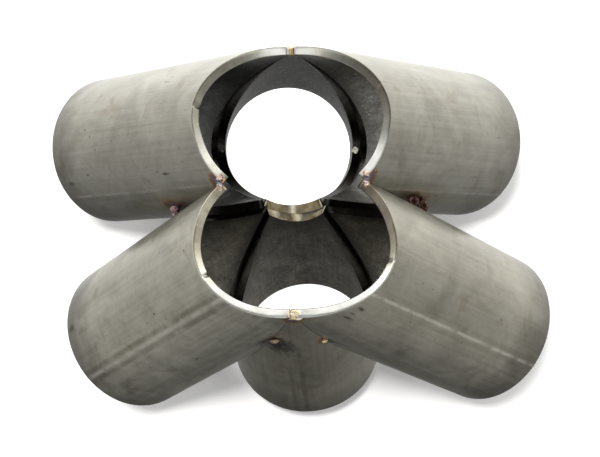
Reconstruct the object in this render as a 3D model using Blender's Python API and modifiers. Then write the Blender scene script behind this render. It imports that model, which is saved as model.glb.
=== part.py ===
"""Six-into-one merge collector of a turbocharged six-cylinder exhaust manifold.

Two banks of three mitred pipe stubs run together under one figure-of-eight mouth. In each bank the three
pipe axes lie in one plane and cross at one point, and the two bank planes lean away from each other. Every
mitre is cut square to the pipe wall, so the joints open into V grooves on the bore side, and short tack
welds hold the stubs until the joints are welded out.

Frame: metres, +Z up and out of the mouth. The collector stands on its six cut inlet ends, with the origin on
that surface under the middle of the part. -X is left, +X right, +Y the rear bank and -Y the front bank.
"""

import math

import bmesh
import bpy
from mathutils import Matrix, Vector

# Driving dimensions, in metres and degrees
PIPE_RADIUS = 0.02413  # outside, 1 1/2 in schedule 10 pipe
PIPE_WALL = 0.00277
MOUTH_HEIGHT = 0.0893  # from the surface under the inlet ends to the mouth
BANK_OFFSET = 0.0164  # from the middle of the mouth to each bank's crossing point
CROSSING_DEPTH = 0.0028  # crossing point below the mouth
BANK_TILT = math.radians(12.1)  # each bank plane, away from the mouth's axis
REAR_SWING, FRONT_SWING = math.radians(-1.8), math.radians(2.5)  # each bank as tacked, towards +X
REAR_SHIFT, FRONT_SHIFT = 0.0001, -0.0012  # each bank's crossing point along X
SIDE_SPREAD = math.radians(38.8)  # side pipe away from the centre pipe, in the bank plane
MOUTH_DRESSING = 0.0004  # dressed off the cut edge, which leaves a flat land round the mouth
CUSP_DIP, CUSP_DIP_REACH = 0.0030, 0.0150  # the edge falls away by this much into each cusp of the mouth
POINT_TRIM = 0.0012  # each centre pipe's point stops this far below the mouth, under the tack there
FIT_GAP = 0.0003  # between neighbouring solids

# Mesh fineness
PIPE_SEGMENTS = 96
TACK_SEGMENTS = 14
TACK_RINGS = 8

REAR, FRONT = 1, -1
LEFT, CENTRE, RIGHT = -1, 0, 1
BANK_NAMES = {REAR: "rear", FRONT: "front"}
PLACE_NAMES = {LEFT: "left", CENTRE: "centre", RIGHT: "right"}
SWINGS = {REAR: REAR_SWING, FRONT: FRONT_SWING}
SHIFTS = {REAR: REAR_SHIFT, FRONT: FRONT_SHIFT}


def clear_scene():
    for thing in list(bpy.data.objects):
        bpy.data.objects.remove(thing, do_unlink=True)


def new_collection(name):
    made = bpy.data.collections.new(name)
    bpy.context.scene.collection.children.link(made)
    return made


def metal(name, colour, roughness):
    """Principled BSDF of a bare metal."""
    made = bpy.data.materials.new(name)
    made.use_nodes = True
    shader = made.node_tree.nodes["Principled BSDF"]
    shader.inputs["Base Color"].default_value = (*colour, 1.0)
    shader.inputs["Roughness"].default_value = roughness
    shader.inputs["Metallic"].default_value = 1.0
    return made


# Layout of the pipes


def crossing_of(bank):
    """The point where the three pipe axes of a bank cross."""
    return Vector((SHIFTS[bank], bank * BANK_OFFSET, MOUTH_HEIGHT - CROSSING_DEPTH))


def axis_of(bank, place):
    """Unit vector along a pipe, from the mouth to its inlet end."""
    spread = place * SIDE_SPREAD
    tilt = bank * BANK_TILT
    straight = Vector(
        (math.sin(spread), math.cos(spread) * math.sin(tilt), -math.cos(spread) * math.cos(tilt))
    )
    return Matrix.Rotation(-SWINGS[bank], 3, "Y") @ straight


def length_of(bank, place):
    """From the crossing point to the inlet end, whose lowest edge stands on the surface."""
    down = -axis_of(bank, place).z
    rise = PIPE_RADIUS * math.sqrt(1 - down**2)
    return (crossing_of(bank).z - rise) / down


def cross_axes(bank, place):
    """Two unit vectors square to the pipe: the one that points furthest down, then its quarter turn."""
    along = axis_of(bank, place)
    lowest = (Vector((0, 0, -1)) + along * along.z).normalized()
    return lowest, along.cross(lowest)


def radial_of(bank, place, angle):
    """Unit vector out of the pipe wall, at an angle round the pipe from its lowest line."""
    first, second = cross_axes(bank, place)
    return first * math.cos(angle) + second * math.sin(angle)


def mitres_of(bank, place):
    """The planes that a pipe is cut back to, each as a point on it and the normal into what is kept."""
    here = axis_of(bank, place)
    half_gap = FIT_GAP / 2
    mitres = [(Vector((0, bank * half_gap, 0)), Vector((0, bank, 0)))]
    for other in (LEFT, CENTRE, RIGHT):
        if other != place:
            away = (here - axis_of(bank, other)).normalized()
            mitres.append((crossing_of(bank) + away * half_gap, away))
    return mitres


def mouth_level(place, y):
    """Height that a pipe is cut to at the mouth, which falls away into the cusps between the banks."""
    if place == CENTRE:
        return MOUTH_HEIGHT - POINT_TRIM
    nearness = max(0, 1 - abs(y) / CUSP_DIP_REACH)
    return MOUTH_HEIGHT + MOUTH_DRESSING - CUSP_DIP * nearness**1.5


def mouth_start(bank, place, ring_point):
    """How far along the pipe, from a point on its ring at the crossing, the wall passes the mouth."""
    along = axis_of(bank, place)
    start = 0
    for _ in range(8):
        level = mouth_level(place, ring_point.y + along.y * start)
        start = (level - ring_point.z) / along.z
    return start


def cut_at(bank, place, angle):
    """How far along the pipe its wall starts at an angle, and which cut decides it."""
    along = axis_of(bank, place)
    outward = radial_of(bank, place, angle)
    rings = [crossing_of(bank) + outward * radius for radius in (PIPE_RADIUS, PIPE_RADIUS - PIPE_WALL)]
    reach = [max(mouth_start(bank, place, point) for point in rings)]
    for mitre, normal in mitres_of(bank, place):
        reach.append(max((mitre - point).dot(normal) / along.dot(normal) for point in rings))
    furthest = max(reach)
    return furthest, reach.index(furthest)


def corner_angles(bank, place):
    """Angles where one mitre hands over to the next, which are the corners of the cut end."""
    step = 2 * math.pi / PIPE_SEGMENTS
    corners = []
    for index in range(PIPE_SEGMENTS):
        low, high = index * step, (index + 1) * step
        before = cut_at(bank, place, low)[1]
        if cut_at(bank, place, high)[1] == before:
            continue
        for _ in range(30):
            middle = (low + high) / 2
            if cut_at(bank, place, middle)[1] == before:
                low = middle
            else:
                high = middle
        corners.append(low)
    return corners


def wall_angles(bank, place):
    """Evenly spaced angles round the pipe, with the nearest ones moved onto the corners of the cut."""
    step = 2 * math.pi / PIPE_SEGMENTS
    angles = [index * step for index in range(PIPE_SEGMENTS)]
    for corner in corner_angles(bank, place):
        angles[round(corner / step) % PIPE_SEGMENTS] = corner
    return angles


# Pipe stubs


def make_pipe(bank, place, material, collection):
    """An open tube moved onto its mitred outline, with the wall thickness added inwards."""
    name = f"{BANK_NAMES[bank]}_{PLACE_NAMES[place]}_pipe"
    inlet = length_of(bank, place)
    angles = wall_angles(bank, place)
    cuts = [cut_at(bank, place, angle)[0] for angle in angles]

    shape = bmesh.new()
    bmesh.ops.create_cone(
        shape, cap_ends=False, segments=PIPE_SEGMENTS, radius1=PIPE_RADIUS, radius2=PIPE_RADIUS, depth=1
    )
    step = 2 * math.pi / PIPE_SEGMENTS
    for vertex in shape.verts:
        column = round(math.atan2(vertex.co.y, vertex.co.x) / step) % PIPE_SEGMENTS
        distance = inlet if vertex.co.z > 0 else cuts[column]
        turned = angles[column]
        vertex.co = Vector((PIPE_RADIUS * math.cos(turned), PIPE_RADIUS * math.sin(turned), distance))
    bmesh.ops.recalc_face_normals(shape, faces=shape.faces)
    if sum(face.normal.xy.dot(face.calc_center_median().xy) for face in shape.faces) < 0:
        bmesh.ops.reverse_faces(shape, faces=shape.faces)
    mesh = bpy.data.meshes.new(name)
    shape.to_mesh(mesh)
    shape.free()
    mesh.shade_smooth()
    mesh.set_sharp_from_angle(angle=math.radians(30))
    mesh.materials.append(material)

    pipe = bpy.data.objects.new(name, mesh)
    collection.objects.link(pipe)
    first, second = cross_axes(bank, place)
    along = axis_of(bank, place)
    turned = Matrix((first, second, along)).transposed().to_4x4()
    pipe.matrix_world = Matrix.Translation(crossing_of(bank)) @ turned

    wall = pipe.modifiers.new("wall", "SOLIDIFY")
    wall.thickness = PIPE_WALL
    wall.offset = -1
    wall.use_even_offset = True
    return pipe


def cut_with(target, cutter):
    cut = target.modifiers.new("cut_" + cutter.name, "BOOLEAN")
    cut.operation = "DIFFERENCE"
    cut.solver = "EXACT"
    cut.object = cutter


def hide_cutter(cutter):
    cutter.hide_render = True
    cutter.display_type = "WIRE"


def make_mouth_dresser(collection):
    """The block that takes the dressing off every cut edge, down to the flat mouth."""
    span, depth = 0.2, 0.02
    bpy.ops.mesh.primitive_cube_add(size=1, location=(0, 0, MOUTH_HEIGHT + depth / 2))
    block = bpy.context.active_object
    block.name = "mouth_dresser"
    block.dimensions = (span, span, depth)
    bpy.ops.object.transform_apply(location=False, rotation=False, scale=True)
    move_to(block, collection)
    hide_cutter(block)
    return block


def move_to(thing, collection):
    for holder in list(thing.users_collection):
        holder.objects.unlink(thing)
    collection.objects.link(thing)


# Tack welds


def bank_angle(bank, place, turn):
    """The angle round a pipe of a line that is a turn away from the bank's outer face, inboard."""
    left, right = axis_of(bank, LEFT), axis_of(bank, RIGHT)
    outer_face = left.cross(right).normalized()
    outer_face *= bank if outer_face.y > 0 else -bank
    along = axis_of(bank, place)
    inboard = outer_face.cross(along) * (bank * (place or RIGHT))
    line = outer_face * math.cos(turn) + inboard * math.sin(turn)
    first, second = cross_axes(bank, place)
    return math.atan2(line.dot(second), line.dot(first))


def seam_point(bank, place, turn, depth):
    """A point on a pipe's cut edge, the given depth under the outside of the wall, and the way out there."""
    angle = bank_angle(bank, place, math.radians(turn))
    outward = radial_of(bank, place, angle)
    start = cut_at(bank, place, angle)[0]
    point = crossing_of(bank) + axis_of(bank, place) * start + outward * (PIPE_RADIUS - depth)
    return point, outward


def tack_frame(bank, place, turn, depth):
    """Where a tack sits and how it is turned: its length runs along the joint."""
    point, outward = seam_point(bank, place, turn, depth)
    step = 2
    ahead = seam_point(bank, place, turn + step, depth)[0] - seam_point(bank, place, turn - step, depth)[0]
    lengthways = ahead.normalized()
    upright = (outward - lengthways * outward.dot(lengthways)).normalized()
    across = upright.cross(lengthways)
    turned = Matrix((lengthways, across, upright)).transposed().to_4x4()
    return Matrix.Translation(point) @ turned


def make_bead(name, placed, size, grown, collection):
    """A flattened ball of weld metal. A grown one is the pocket that it has melted into the pipes."""
    shape = bmesh.new()
    bmesh.ops.create_uvsphere(shape, u_segments=TACK_SEGMENTS, v_segments=TACK_RINGS, radius=1)
    half = [side / 2 + grown for side in size]
    bmesh.ops.scale(shape, vec=half, verts=shape.verts)
    mesh = bpy.data.meshes.new(name)
    shape.to_mesh(mesh)
    shape.free()
    mesh.shade_smooth()
    bead = bpy.data.objects.new(name, mesh)
    bead.matrix_world = placed
    collection.objects.link(bead)
    return bead


# Each tack: the pipe whose cut edge it sits on, the turn round that pipe, its depth under the outside of the
# wall, its size along, across and through the joint, and the other pipes that it joins. A turn is in degrees
# from the bank's outer face towards the middle of the bank, and a negative depth is outside the wall.
MOUTH_TACK = (0.0025, 0.0024, 0.0030)
WIDE_MOUTH_TACK = (0.0042, 0.0024, 0.0030)
OUTER_TACK = (0.0034, 0.0022, 0.0016)
SMALL_TACK = (0.0020, 0.0020, 0.0015)
BORE_TACK = (0.0026, 0.0026, 0.0021)
TACKS = {
    "tack_mouth_rear": ((REAR, CENTRE), 0, 0.0014, MOUTH_TACK, [(REAR, LEFT), (REAR, RIGHT)]),
    "tack_mouth_front": ((FRONT, CENTRE), 0, 0.0014, WIDE_MOUTH_TACK, [(FRONT, LEFT), (FRONT, RIGHT)]),
    "tack_front_left": ((FRONT, CENTRE), 17, -0.0006, OUTER_TACK, [(FRONT, LEFT)]),
    "tack_front_right": ((FRONT, CENTRE), -19, -0.0005, SMALL_TACK, [(FRONT, RIGHT)]),
    "tack_rear_left": ((REAR, CENTRE), 17, -0.0006, OUTER_TACK, [(REAR, LEFT)]),
    "tack_rear_right": ((REAR, CENTRE), -19, -0.0005, SMALL_TACK, [(REAR, RIGHT)]),
    "tack_bore_left": ((REAR, CENTRE), 93, 0.0016, BORE_TACK, [(REAR, LEFT)]),
    "tack_bore_right": ((REAR, CENTRE), -95, 0.0016, BORE_TACK, [(REAR, RIGHT)]),
    "tack_middle": ((REAR, CENTRE), 180, 0.0014, (0.0028, 0.0030, 0.0022), [(FRONT, CENTRE)]),
}

# Tacks between the two banks, at the mouth's cusps and down the outside crotches: the side, the middle of
# the bead, and its size along, across and through the crotch.
BANK_TACKS = {
    "tack_mouth_left": (LEFT, (-0.0224, 0, 0.0858), (0.0028, 0.0056, 0.0028)),
    "tack_mouth_right": (RIGHT, (0.0217, 0, 0.0858), (0.0028, 0.0056, 0.0028)),
    "tack_flank_left": (LEFT, (-0.0370, -0.0002, 0.0563), (0.0046, 0.0044, 0.0032)),
    "tack_flank_right_high": (RIGHT, (0.0362, 0.0005, 0.0578), (0.0042, 0.0042, 0.0032)),
    "tack_flank_right_low": (RIGHT, (0.0394, 0.0004, 0.0514), (0.0042, 0.0056, 0.0034)),
}


def bank_tack_frame(place, middle):
    """A tack between the banks has its length down the crotch of the two pipes on that side."""
    lengthways = (axis_of(REAR, place) + axis_of(FRONT, place)).normalized()
    across = (Vector((0, 1, 0)) - lengthways * lengthways.y).normalized()
    turned = Matrix((lengthways, across, lengthways.cross(across))).transposed().to_4x4()
    return Matrix.Translation(middle) @ turned


def make_tack(name, placed, size, joined, material, collection, cutters):
    """Every tack ends below the mouth, which is dressed flat after tacking."""
    rise = math.sqrt(sum((side / 2 * placed[2][column]) ** 2 for column, side in enumerate(size)))
    sink = max(0, placed.translation.z + rise - MOUTH_HEIGHT + 0.0001)
    placed = Matrix.Translation((0, 0, -sink)) @ placed
    bead = make_bead(name, placed, size, 0, collection)
    bead.data.materials.append(material)
    pocket = make_bead("pocket_" + name, placed, size, FIT_GAP, cutters)
    hide_cutter(pocket)
    for pipe in joined:
        cut_with(pipe, pocket)


def make_tacks(pipes, *where):
    for name, (seat, turn, depth, size, others) in TACKS.items():
        joined = [pipes[key] for key in [seat, *others]]
        make_tack(name, tack_frame(*seat, turn, depth), size, joined, *where)
    for name, (place, middle, size) in BANK_TACKS.items():
        joined = [pipes[REAR, place], pipes[FRONT, place]]
        make_tack(name, bank_tack_frame(place, middle), size, joined, *where)


def main():
    clear_scene()
    collector = new_collection("merge_collector")
    cutters = new_collection("cutters")
    steel = metal("mill_finish_stainless", (0.50, 0.49, 0.46), 0.42)
    weld_metal = metal("heat_tinted_weld", (0.62, 0.50, 0.36), 0.30)

    dresser = make_mouth_dresser(cutters)
    pipes = {}
    for bank in (REAR, FRONT):
        for place in (LEFT, CENTRE, RIGHT):
            pipe = make_pipe(bank, place, steel, collector)
            cut_with(pipe, dresser)
            pipes[bank, place] = pipe
    make_tacks(pipes, weld_metal, collector, cutters)


main()
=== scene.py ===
"""Looks of the six-into-one merge collector: its pipe stubs and tack welds in full detail, and the studio.

The pipes repeat the CAD part's driving dimensions, so each detailed stub lies on the node that it replaces:
the same mitres and mouth, with dressed edges, a flush seam and the small faults of cut pipe. The tack welds
grow out of the CAD's own beads. Everything is in metres, in the CAD's frame: +Z is out of the mouth, -X is
left. The finishes' nodes and tables work in millimetres.
"""

import math

import bmesh
import bpy
from mathutils import Matrix, Vector, noise


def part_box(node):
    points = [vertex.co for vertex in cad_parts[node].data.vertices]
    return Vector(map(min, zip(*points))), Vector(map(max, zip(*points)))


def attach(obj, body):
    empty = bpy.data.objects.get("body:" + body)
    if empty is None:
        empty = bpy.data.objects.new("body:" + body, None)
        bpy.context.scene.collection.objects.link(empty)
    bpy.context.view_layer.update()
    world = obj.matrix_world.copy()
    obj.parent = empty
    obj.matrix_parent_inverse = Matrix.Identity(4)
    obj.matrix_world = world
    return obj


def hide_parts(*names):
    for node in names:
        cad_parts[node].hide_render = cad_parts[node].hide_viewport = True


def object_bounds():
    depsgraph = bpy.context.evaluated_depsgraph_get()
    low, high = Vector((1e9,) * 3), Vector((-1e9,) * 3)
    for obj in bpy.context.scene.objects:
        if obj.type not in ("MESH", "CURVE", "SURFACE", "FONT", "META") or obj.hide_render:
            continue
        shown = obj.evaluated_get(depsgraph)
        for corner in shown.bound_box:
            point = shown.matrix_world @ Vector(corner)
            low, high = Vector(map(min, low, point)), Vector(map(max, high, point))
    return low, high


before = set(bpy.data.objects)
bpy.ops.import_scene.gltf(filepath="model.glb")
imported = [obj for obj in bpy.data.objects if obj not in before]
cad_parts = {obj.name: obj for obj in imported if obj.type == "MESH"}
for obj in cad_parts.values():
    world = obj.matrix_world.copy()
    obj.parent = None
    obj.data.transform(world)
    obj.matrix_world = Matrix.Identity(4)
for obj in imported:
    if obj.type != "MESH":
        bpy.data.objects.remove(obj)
cad_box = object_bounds()

# Driving dimensions of the CAD part
PIPE_RADIUS = 0.02413
PIPE_WALL = 0.00277
MOUTH_HEIGHT = cad_box[1].z
BANK_OFFSET = 0.0164
CROSSING_DEPTH = 0.0028
BANK_TILT = math.radians(12.1)
REAR_SWING, FRONT_SWING = math.radians(-1.8), math.radians(2.5)
REAR_SHIFT, FRONT_SHIFT = 0.0001, -0.0012
SIDE_SPREAD = math.radians(38.8)
MOUTH_DRESSING = 0.00015  # a narrower land than the CAD part's
CUSP_DIP, CUSP_DIP_REACH = 0.0030, 0.0150
CUSP_SHARPNESS = 1.5
POINT_TRIM = 0.0012  # how far below the mouth the centre pipes' points are cut off
JOINT_GAP = -0.00012  # the CAD's solids stand 0.3 mm apart, the real stubs are tacked tight
LEFT_LEAN = 0.0125  # the two left pipes lap a little low down, where light would show through their bad fit

# Fineness and finish of the detailed pipes
COLUMNS = 192
SEAM_COLUMNS = (-1.5, -1, -0.5, 0, 0.5, 1, 1.5)  # extra columns across a seam, in its half widths
NICK_COLUMNS = (-1.6, -1, -0.5, 0, 0.5, 1, 1.6)  # and across a nick
COLUMN_CLEARANCE = 0.3  # even columns this share of a step from an extra one are left out
WALL_ROWS = 18
BORE_ROWS = 14
ROW_CROWDING = 1.6  # the power by which rows crowd towards the mouth
FACE_POINTS = 6
BEVEL_STEPS = 3
MOUTH_EDGE = 0.00016  # radius broken onto the edges of the mouth, and onto the inner edges of the mitres
FRONT_BORE_EDGE = 0.00030  # onto the inner edge of the front half of the mouth
MITRE_EDGE = 0.00005  # onto the outer edges of the mitres
END_EDGE = 0.00022  # onto the edges of the inlet end
SEAM_WIDTH = 0.0007  # half width of the pipe's own longitudinal weld
SEAM_RISE = 0.00005
OVALITY = 0.00005  # unevenness of the drawn wall
OVAL_LOBES, OVAL_PITCH = 2.2, 45  # round the pipe, and per metre along it
CUT_WAVER = 0.00005  # unevenness of the cut
CUT_WAVES = ((9, 0, 1.0), (31, 5, 0.6))  # its noise: lobes round the pipe, seed and share

REAR, FRONT = 1, -1
LEFT, CENTRE, RIGHT = -1, 0, 1
BANK_NAMES = {REAR: "rear", FRONT: "front"}
PLACE_NAMES = {LEFT: "left", CENTRE: "centre", RIGHT: "right"}
SWINGS = {REAR: REAR_SWING, FRONT: FRONT_SWING}
SHIFTS = {REAR: REAR_SHIFT, FRONT: FRONT_SHIFT}

# Where each pipe's longitudinal seam runs, in degrees round the pipe from its lowest line
SEAMS = {
    (REAR, LEFT): 118.5,
    (REAR, CENTRE): 40,
    (REAR, RIGHT): 248.5,
    (FRONT, LEFT): 149.5,
    (FRONT, CENTRE): 196,
    (FRONT, RIGHT): 210,
}

# Nicks where the saw came in at the mouth: degrees round the pipe, then depth
NICKS = {
    (REAR, LEFT): [(178.5, 0.0005)],
    (REAR, RIGHT): [(168.5, 0.0004)],
    (FRONT, LEFT): [(169.2, 0.0006)],
    (FRONT, RIGHT): [(182.8, 0.0005)],
}
NICK_WIDTH = 0.0006
NICK_OUTSIDE = 0.35  # share of its depth that a nick has at the outside of the wall
FAR_FROM_JOINT = 0.02  # stands for no joint near, at the mouth

SETTLING_STEPS = 8  # to find where a wall meets the dipped mouth
HALVINGS = 24  # to find where one cut hands over to the next

# Finishes of a pipe, in the order of its material slots
OUTSIDE, RIM, GROOVE, SADDLE, BORE, INLET_END, BORE_EDGE = range(7)


# Layout of the pipes, as the CAD part has it


def crossing_of(bank):
    """The point that the axes of a bank's three pipes start from."""
    return Vector((SHIFTS[bank], bank * BANK_OFFSET, MOUTH_HEIGHT - CROSSING_DEPTH))


def axis_of(bank, place):
    """The direction of a pipe's axis, away from the mouth."""
    spread = place * SIDE_SPREAD
    tilt = bank * BANK_TILT
    straight = Vector(
        (math.sin(spread), math.cos(spread) * math.sin(tilt), -math.cos(spread) * math.cos(tilt))
    )
    return Matrix.Rotation(-SWINGS[bank], 3, "Y") @ straight


def length_of(bank, place):
    """From the crossing to the square inlet end, whose lowest point stands on the floor."""
    down = -axis_of(bank, place).z
    rise = PIPE_RADIUS * math.sqrt(1 - down**2)
    return (crossing_of(bank).z - rise) / down


def cross_axes(bank, place):
    along = axis_of(bank, place)
    lowest = (Vector((0, 0, -1)) + along * along.z).normalized()
    return lowest, along.cross(lowest)


def radial_of(bank, place, angle):
    first, second = cross_axes(bank, place)
    return first * math.cos(angle) + second * math.sin(angle)


def mitres_of(bank, place):
    """The planes that cut a pipe, as a point and a normal into it: first the one between the banks."""
    here = axis_of(bank, place)
    half_gap = JOINT_GAP / 2
    lean = LEFT_LEAN if place == LEFT else 0
    mitres = [(Vector((0, bank * half_gap, MOUTH_HEIGHT)), Vector((0, bank, -lean)))]
    for other in (LEFT, CENTRE, RIGHT):
        if other != place:
            away = (here - axis_of(bank, other)).normalized()
            mitres.append((crossing_of(bank) + away * half_gap, away))
    return mitres


def mouth_level(place, y):
    """The height that the mouth is cut to, which dips at the cusps."""
    if place == CENTRE:
        return MOUTH_HEIGHT - POINT_TRIM
    nearness = max(0, 1 - abs(y) / CUSP_DIP_REACH)
    return MOUTH_HEIGHT + MOUTH_DRESSING - CUSP_DIP * nearness**CUSP_SHARPNESS


def mouth_start(bank, place, ring_point):
    """How far along the pipe from a point of its ring at the crossing the mouth is."""
    along = axis_of(bank, place)
    start = 0
    for _ in range(SETTLING_STEPS):
        level = mouth_level(place, ring_point.y + along.y * start)
        start = (level - ring_point.z) / along.z
    return start


def cut_at(bank, place, angle):
    """How far along the pipe its wall starts at an angle, and which cut decides it.

    Cut 0 is the mouth, cut 1 the mitre between the banks, and the others are those within the bank.
    """
    along = axis_of(bank, place)
    outward = radial_of(bank, place, angle)
    crossing = crossing_of(bank)
    rings = [crossing + outward * radius for radius in (PIPE_RADIUS, PIPE_RADIUS - PIPE_WALL)]
    reach = [max(mouth_start(bank, place, point) for point in rings)]
    for mitre, normal in mitres_of(bank, place):
        reach.append(max((mitre - point).dot(normal) / along.dot(normal) for point in rings))
    furthest = max(reach)
    return furthest, reach.index(furthest)


def pipe_frame(bank, place):
    """The pipe's own frame: local Z is its axis, away from the mouth, and local +X its lowest line."""
    first, second = cross_axes(bank, place)
    turned = Matrix((first, second, axis_of(bank, place))).transposed().to_4x4()
    return Matrix.Translation(crossing_of(bank)) @ turned


# Detailed pipe stubs


def corner_angles(bank, place):
    """Angles where one cut hands over to the next."""
    step = 2 * math.pi / COLUMNS
    corners = []
    for index in range(COLUMNS):
        low, high = index * step, (index + 1) * step
        before = cut_at(bank, place, low)[1]
        if cut_at(bank, place, high)[1] == before:
            continue
        for _ in range(HALVINGS):
            middle = (low + high) / 2
            if cut_at(bank, place, middle)[1] == before:
                low = middle
            else:
                high = middle
        corners.append(low)
    return corners


def column_angles(bank, place):
    """Even steps round the pipe, moved onto the corners of the cut, with extra ones at seam and nicks."""
    step = 2 * math.pi / COLUMNS
    angles = [index * step for index in range(COLUMNS)]
    for corner in corner_angles(bank, place):
        angles[round(corner / step) % COLUMNS] = corner
    seam = math.radians(SEAMS[bank, place])
    extra = [seam + share * SEAM_WIDTH / PIPE_RADIUS for share in SEAM_COLUMNS]
    for turn, _ in NICKS.get((bank, place), []):
        middle = math.radians(turn)
        extra += [middle + share * NICK_WIDTH / PIPE_RADIUS for share in NICK_COLUMNS]
    clear = COLUMN_CLEARANCE * step
    kept = [angle for angle in angles if min(abs(angle - other) for other in extra) > clear]
    return sorted(kept + extra)


def round_noise(angle, lobes, seed):
    """Smooth noise round the pipe that closes on itself."""
    return noise.noise(Vector((math.cos(angle) * lobes, math.sin(angle) * lobes, seed)))


def seam_height(bank, place, angle):
    off = (angle - math.radians(SEAMS[bank, place])) * PIPE_RADIUS / SEAM_WIDTH
    return SEAM_RISE * math.exp(-(off**2))


def nick_depth(bank, place, angle):
    depth = 0
    for turn, deepest in NICKS.get((bank, place), []):
        off = (angle - math.radians(turn)) * PIPE_RADIUS / NICK_WIDTH
        depth += deepest * math.exp(-(off**2))
    return depth


def broken_edge(radius):
    """A rounded edge: how far in from the wall, and how far below the face."""
    turns = [math.pi / 2 * index / BEVEL_STEPS for index in range(BEVEL_STEPS + 1)]
    return [(radius * (1 - math.cos(turn)), radius * (1 - math.sin(turn))) for turn in turns]


def face_profile(outer_edge, inner_edge):
    """Across the cut from outside to bore: how far in from the outside, and how far below it."""
    outer = broken_edge(outer_edge)
    flat = PIPE_WALL - outer_edge - inner_edge
    middle = [(outer_edge + flat * index / FACE_POINTS, 0) for index in range(1, FACE_POINTS)]
    inner = [(PIPE_WALL - inset, drop) for inset, drop in reversed(broken_edge(inner_edge))]
    return outer + middle + inner


def end_profile():
    """Across the square inlet end from bore to outside: how far in, and how far short of the end."""
    outer = broken_edge(END_EDGE)
    inner = [(PIPE_WALL - inset, short) for inset, short in outer]
    return inner + [(PIPE_WALL / 2, 0)] + outer[::-1]


def column_points(bank, place, angle):
    """The wall's closed outline at one angle, in the pipe's frame, and how far past a joint each point is."""
    seed = 7.3 * bank + 3.1 * place  # no two pipes have the same faults
    along = axis_of(bank, place)
    outward = radial_of(bank, place, angle)
    waves = [share * round_noise(angle, lobes, seed + more) for lobes, more, share in CUT_WAVES]
    waver = CUT_WAVER * sum(waves)
    nick = nick_depth(bank, place, angle)
    cut, cut_index = cut_at(bank, place, angle)
    cut += waver
    inlet = length_of(bank, place)

    def start_of(inset):
        ring = crossing_of(bank) + outward * (PIPE_RADIUS - inset)
        dressed = (MOUTH_HEIGHT - ring.z) / along.z
        return max(cut, dressed) + nick * (NICK_OUTSIDE + (1 - NICK_OUTSIDE) * inset / PIPE_WALL)

    points = []
    bore_edge = FRONT_BORE_EDGE if bank == FRONT and not cut_index else MOUTH_EDGE
    across = face_profile(MITRE_EDGE if cut_index else MOUTH_EDGE, bore_edge)
    end = end_profile()
    wall_start = start_of(0) + across[0][1]
    bore_start = start_of(PIPE_WALL) + across[-1][1]
    wall_end = inlet - end[-1][1]
    bore_end = inlet - end[0][1]
    for row in range(WALL_ROWS, 0, -1):
        share = (row / (WALL_ROWS + 1)) ** ROW_CROWDING
        points.append((0, wall_start + (wall_end - wall_start) * share))
    points += [(inset, start_of(inset) + drop) for inset, drop in across]
    for row in range(1, BORE_ROWS + 1):
        share = (row / (BORE_ROWS + 1)) ** ROW_CROWDING
        points.append((PIPE_WALL, bore_start + (bore_end - bore_start) * share))
    points += [(inset, inlet - short) for inset, short in end]

    placed = []
    for inset, distance in points:
        wander = OVALITY * round_noise(angle, OVAL_LOBES, distance * OVAL_PITCH + seed)
        share = 1 - inset / PIPE_WALL  # the seam stands proud on both sides of the wall
        radius = PIPE_RADIUS - inset + wander + seam_height(bank, place, angle) * (2 * share - 1)
        placed.append((radius * math.cos(angle), radius * math.sin(angle), distance))
    return placed, [distance - cut if cut_index else FAR_FROM_JOINT for _, distance in points]


def regions(place, cut_index):
    """Which finish each step of the outline has, in the order of column_points."""
    face = len(face_profile(MOUTH_EDGE, MOUTH_EDGE)) - 1
    end = len(end_profile())
    if cut_index == 0:
        cut = [RIM] * (face - BEVEL_STEPS) + [BORE_EDGE] * BEVEL_STEPS
    elif cut_index == 1 and place == CENTRE:
        cut = [SADDLE] * face
    else:
        cut = [GROOVE] * (face - BEVEL_STEPS) + [BORE_EDGE] * BEVEL_STEPS
    return [OUTSIDE] * WALL_ROWS + cut + [BORE] * (BORE_ROWS + 1) + [INLET_END] * (end - 1) + [OUTSIDE]


def make_pipe(bank, place, finishes):
    """A pipe stub, with its own coordinates and its distances from a joint as attributes, in millimetres."""
    name = f"{BANK_NAMES[bank]}_{PLACE_NAMES[place]}_pipe"
    angles = column_angles(bank, place)
    columns = [column_points(bank, place, angle) for angle in angles]
    rows = len(columns[0][0])
    points = [point for outline, _ in columns for point in outline]
    faces, finish_of = [], []
    following = angles[1:] + [angles[0] + 2 * math.pi]
    for column, (angle, next_angle) in enumerate(zip(angles, following)):
        here, after = column * rows, (column + 1) % len(columns) * rows
        cut_index = cut_at(bank, place, (angle + next_angle) / 2)[1]
        for row, region in enumerate(regions(place, cut_index)):
            below = (row + 1) % rows
            faces.append((here + row, here + below, after + below, after + row))
            finish_of.append(region)
    mesh = bpy.data.meshes.new(name + "_detailed")
    placed = pipe_frame(bank, place)
    mesh.from_pydata([placed @ Vector(point) for point in points], [], faces)
    mesh.polygons.foreach_set("material_index", finish_of)
    mesh.shade_smooth()
    own = mesh.attributes.new("pipe_point", "FLOAT_VECTOR", "POINT")
    own.data.foreach_set("vector", [value * 1000 for point in points for value in point])
    joint = mesh.attributes.new("from_joint", "FLOAT", "POINT")
    joint.data.foreach_set("value", [value * 1000 for _, apart in columns for value in apart])
    for finish in finishes:
        mesh.materials.append(finish)
    outward = bmesh.new()
    outward.from_mesh(mesh)
    bmesh.ops.recalc_face_normals(outward, faces=outward.faces)
    outward.to_mesh(mesh)
    outward.free()

    pipe = bpy.data.objects.new(name + "_detailed", mesh)
    bpy.context.scene.collection.objects.link(pipe)
    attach(pipe, "root")
    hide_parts(name)
    return pipe


# Tack welds

LUMPS = 0.00013  # how high the lumps are on a bead of the typical size
TYPICAL_BEAD = 0.0024
RIPPLE = 0.0011  # from one ripple of the weld to the next
COARSE_LUMPS, FINE_LUMPS, RIPPLE_DRIFT = 1100, 2600, 500  # frequencies of their noise, per metre


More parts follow.
